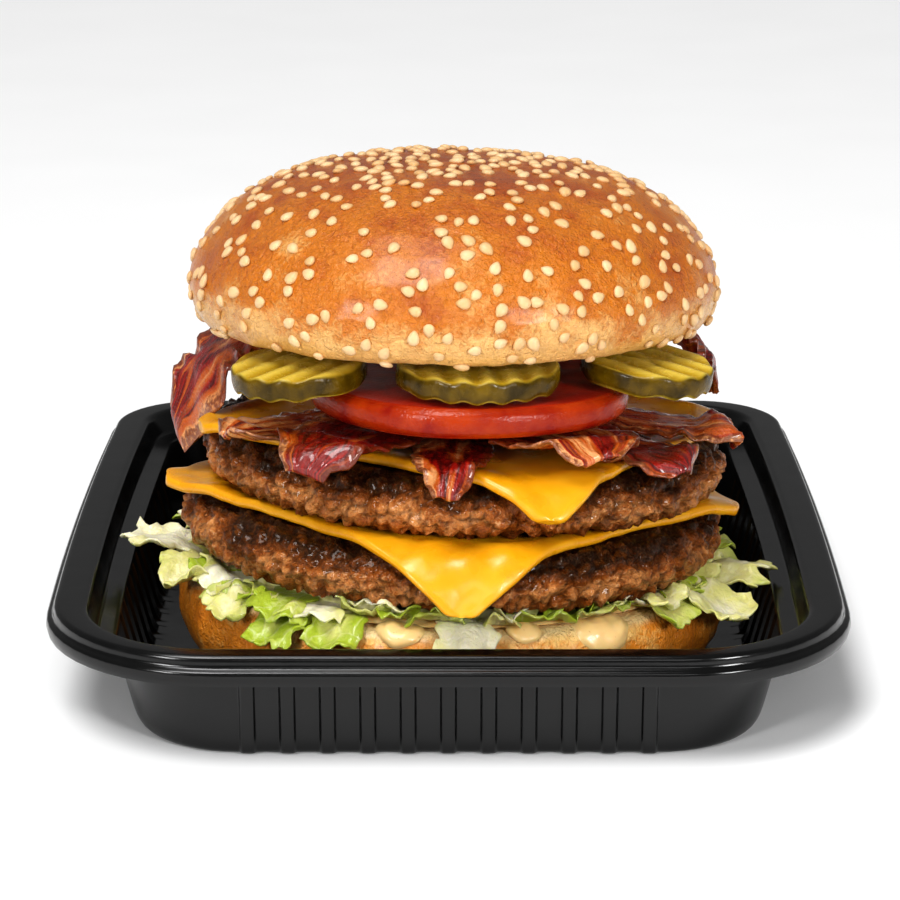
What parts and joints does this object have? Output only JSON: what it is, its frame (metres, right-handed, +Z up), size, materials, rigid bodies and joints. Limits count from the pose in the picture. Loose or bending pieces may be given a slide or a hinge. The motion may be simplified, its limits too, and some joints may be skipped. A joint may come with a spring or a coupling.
{
  "type": "bacon cheeseburger in an open takeaway tray",
  "caption": "Tall bacon cheeseburger with stacked patties, seeded bun, pickles and tomato, standing in an open rectangular takeaway tray with ribbed walls and a rolled rim.",
  "frame": {"origin": "middle of the tray's footprint, on the surface that it stands on", "axes": "+Z up, +Y from the tray's front rim to its back, +X to the right seen from the front"},
  "size_m": [0.1772, 0.193, 0.115],
  "materials": {
    "black_plastic": "thermoformed black plastic sheet, satin gloss",
    "bun_crust": "baked crust, lightly glazed",
    "grilled_beef": "coarse grilled mince, browned",
    "melted_cheese": "melted cheese slice, soft gloss",
    "fried_bacon": "fried rasher, greasy gloss",
    "tomato_flesh": "wet cut tomato",
    "pickled_cucumber": "wet crinkle-cut pickle",
    "iceberg_lettuce": "crisp leaf, slight gloss",
    "burger_sauce": "thick creamy sauce"
  },
  "bodies": {
    "root": {"tray": "black_plastic", "heel": "bun_crust", "sauce": "burger_sauce", "lettuce": "iceberg_lettuce", "patty_lower": "grilled_beef", "cheese_lower": "melted_cheese", "patty_upper": "grilled_beef", "cheese_upper": "melted_cheese", "bacon_front": "fried_bacon", "bacon_front_left": "fried_bacon", "bacon_front_right": "fried_bacon", "bacon_left_front": "fried_bacon", "bacon_right_front": "fried_bacon", "bacon_right": "fried_bacon", "bacon_right_back": "fried_bacon", "bacon_left_back": "fried_bacon", "bacon_left_top": "fried_bacon", "bacon_right_top": "fried_bacon", "tomato_front": "tomato_flesh", "tomato_left_back": "tomato_flesh", "tomato_right_back": "tomato_flesh", "pickle_left": "pickled_cucumber", "pickle_front": "pickled_cucumber", "pickle_right": "pickled_cucumber", "pickle_right_back": "pickled_cucumber", "pickle_back": "pickled_cucumber", "pickle_left_back": "pickled_cucumber", "crown": "bun_crust"}
  },
  "joints": []
}
